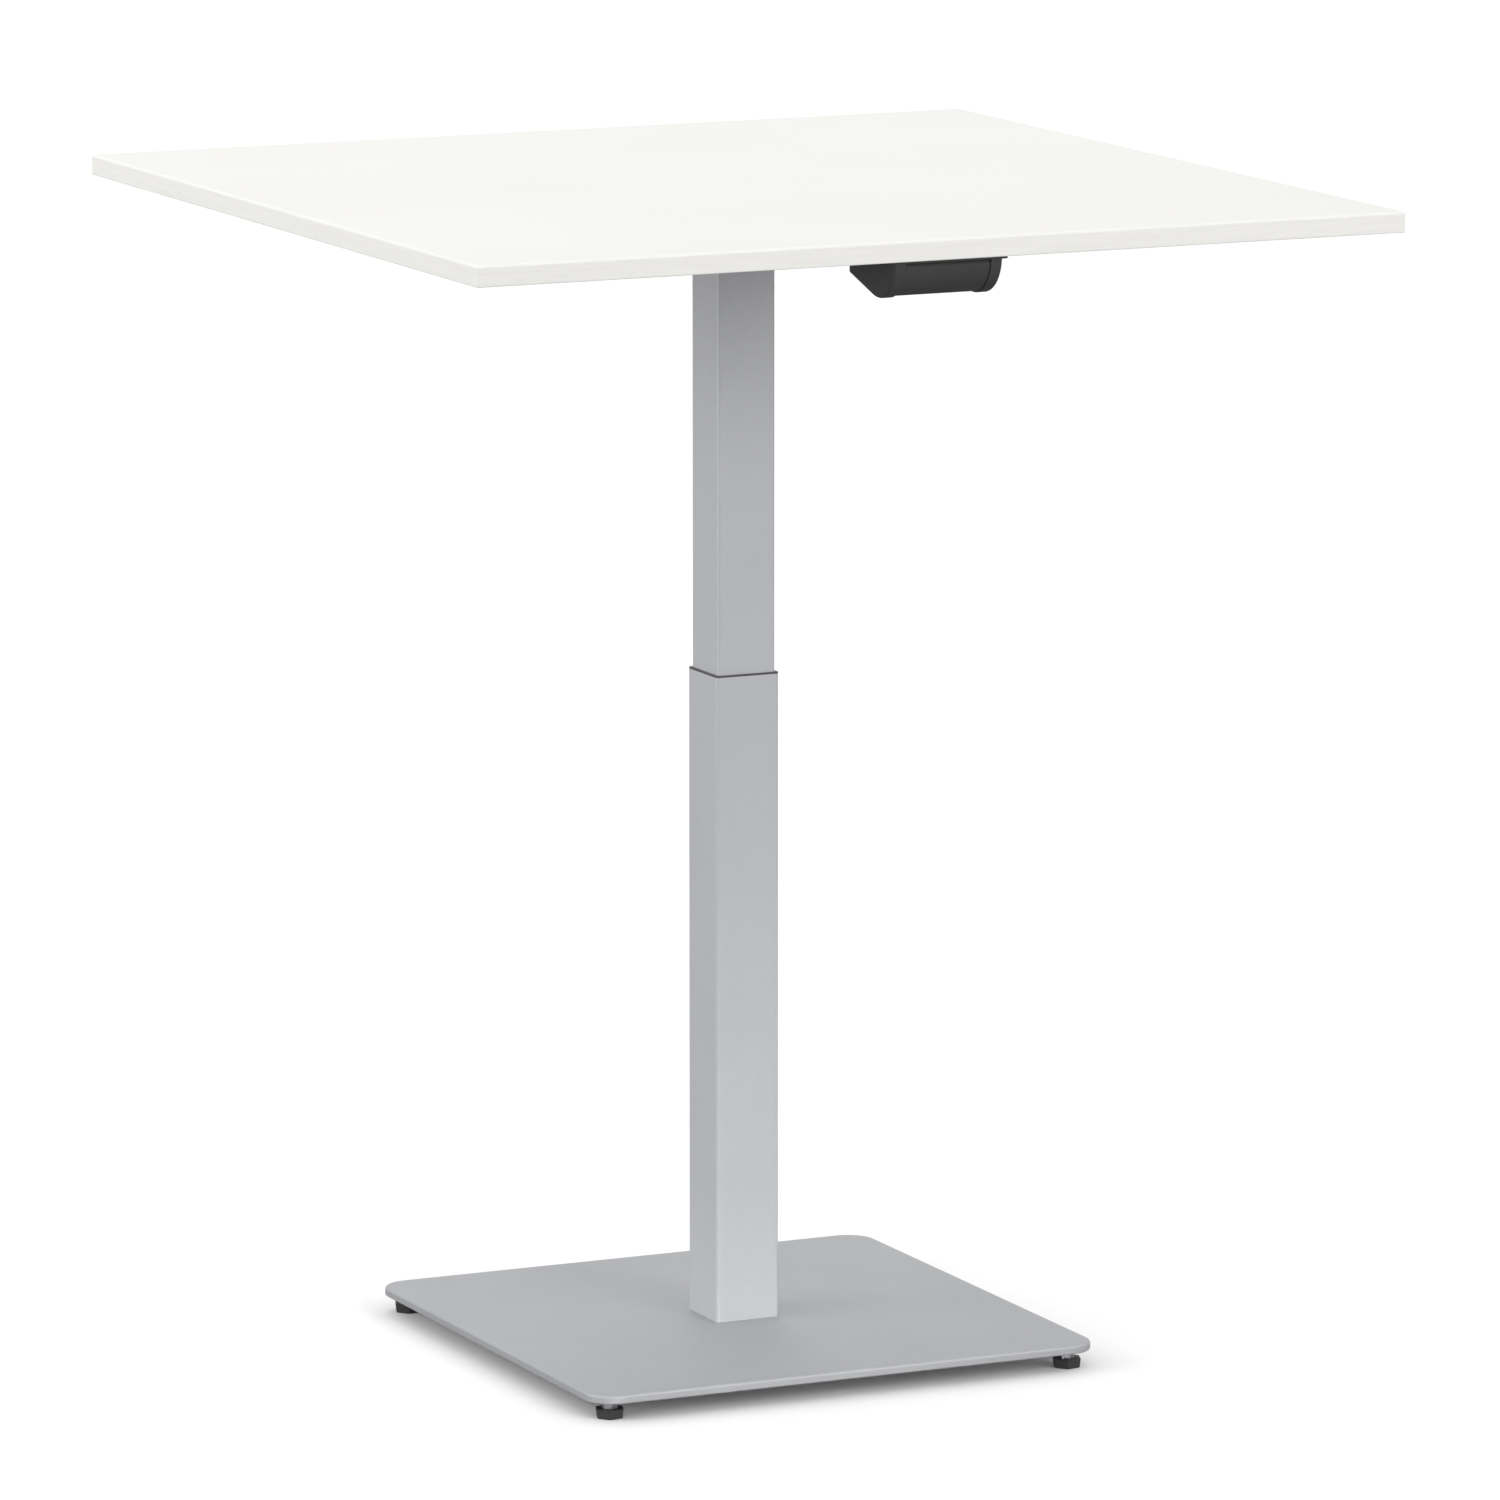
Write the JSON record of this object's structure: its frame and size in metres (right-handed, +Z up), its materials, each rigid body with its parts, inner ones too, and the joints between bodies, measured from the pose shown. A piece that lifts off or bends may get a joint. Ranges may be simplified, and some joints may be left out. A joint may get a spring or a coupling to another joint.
{
  "type": "height-adjustable pedestal table",
  "caption": "Square pedestal table with a laminate top on a telescopic gas-lift column, a flat base plate on levelling glides and a release handle under the front edge.",
  "frame": {"origin": "on the floor, under the middle of the column", "axes": "+Z up, +X along the front edge to the right as one faces the release handle, +Y to the back"},
  "size_m": [0.9144, 0.9144, 1.096],
  "materials": {
    "top_face": "warm white laminate, fine satin texture",
    "edge_band": "warm white edge band, satin",
    "board_core": "raw particle board",
    "backer_sheet": "white backing sheet, matt",
    "column_paint": "silver powder coat, satin",
    "base_paint": "silver powder coat, satin",
    "guide_plastic": "black nylon, matt",
    "handle_plastic": "black moulded plastic, fine grain",
    "glide_plastic": "black nylon, satin",
    "black_enamel": "black enamel, semi-gloss",
    "bright_steel": "ground bright steel",
    "raw_steel": "mill-finish steel",
    "zinc_steel": "zinc-plated steel"
  },
  "bodies": {
    "base": {"base_plate": "base_paint", "outer_tube": "column_paint", "upper_guide": "guide_plastic", "column_foot": "raw_steel", "column_bolts": "zinc_steel", "column_washers": "zinc_steel", "gas_cylinder": "black_enamel", "gas_cylinder_head": "bright_steel", "gas_spring_stud": "zinc_steel", "gas_spring_nut": "zinc_steel", "glide_lock_nuts": "zinc_steel"},
    "top": {"edge_band_back": "edge_band", "edge_band_front": "edge_band", "edge_band_left": "edge_band", "edge_band_right": "edge_band", "handle_housing": "handle_plastic", "handle_screws": "zinc_steel", "inner_tube": "column_paint", "lever_bracket": "zinc_steel", "lever_pin": "zinc_steel", "lever_pin_clip": "zinc_steel", "lower_guide": "guide_plastic", "paddle_pin": "zinc_steel", "piston": "bright_steel", "piston_rod": "bright_steel", "rod_guide_front": "guide_plastic", "rod_guide_rear": "guide_plastic", "rod_guide_screws": "zinc_steel", "rod_lock_nuts": "zinc_steel", "spring_bridge": "raw_steel", "support_plate": "column_paint", "support_rib_back_left": "column_paint", "support_rib_back_right": "column_paint", "support_rib_front_left": "column_paint", "support_rib_front_right": "column_paint", "top_backer": "backer_sheet", "top_core": "board_core", "top_laminate": "top_face", "top_screws": "zinc_steel"},
    "paddle": {"handle_paddle": "handle_plastic"},
    "rod": {"release_rod": "zinc_steel", "rod_clips": "zinc_steel"},
    "lever": {"release_lever": "zinc_steel"},
    "valve_pin": {"release_pin": "bright_steel"},
    "glide_front_left": {"glide_stud_front_left": "zinc_steel", "glide_foot_front_left": "glide_plastic"},
    "glide_front_right": {"glide_stud_front_right": "zinc_steel", "glide_foot_front_right": "glide_plastic"},
    "glide_back_left": {"glide_stud_back_left": "zinc_steel", "glide_foot_back_left": "glide_plastic"},
    "glide_back_right": {"glide_stud_back_right": "zinc_steel", "glide_foot_back_right": "glide_plastic"}
  },
  "joints": [
    {"name": "lift", "type": "slide", "parent": "base", "child": "top", "axis": [0, 0, 1], "range_m": [-0.4, 0]},
    {"name": "paddle_hinge", "type": "hinge", "parent": "top", "child": "paddle", "pos_m": [0, -0.4474, 1.072], "axis": [-1, 0, 0], "range_deg": [0, 18], "stiffness_Nm_per_rad": 1, "springref_deg": -5.73},
    {"name": "rod_slide", "type": "slide", "parent": "top", "child": "rod", "axis": [0, -1, 0], "range_m": [0, 0.0024]},
    {"name": "lever_hinge", "type": "hinge", "parent": "top", "child": "lever", "pos_m": [0, 0.014, 1.045], "axis": [1, 0, 0], "range_deg": [0, 7.6]},
    {"name": "valve_slide", "type": "slide", "parent": "top", "child": "valve_pin", "axis": [0, 0, -1], "range_m": [0, 0.0018]},
    {"name": "glide_front_left_screw", "type": "slide", "parent": "base", "child": "glide_front_left", "axis": [0, 0, 1], "range_m": [-0.005, 0]},
    {"name": "glide_front_right_screw", "type": "slide", "parent": "base", "child": "glide_front_right", "axis": [0, 0, 1], "range_m": [-0.005, 0]},
    {"name": "glide_back_left_screw", "type": "slide", "parent": "base", "child": "glide_back_left", "axis": [0, 0, 1], "range_m": [-0.005, 0]},
    {"name": "glide_back_right_screw", "type": "slide", "parent": "base", "child": "glide_back_right", "axis": [0, 0, 1], "range_m": [-0.005, 0]}
  ],
  "couplings": [
    {"joint": "rod_slide", "follows": "paddle_hinge", "m_per_rad": 0.0075},
    {"joint": "lever_hinge", "follows": "paddle_hinge", "ratio": 0.416},
    {"joint": "valve_slide", "follows": "paddle_hinge", "m_per_rad": 0.0057}
  ]
}
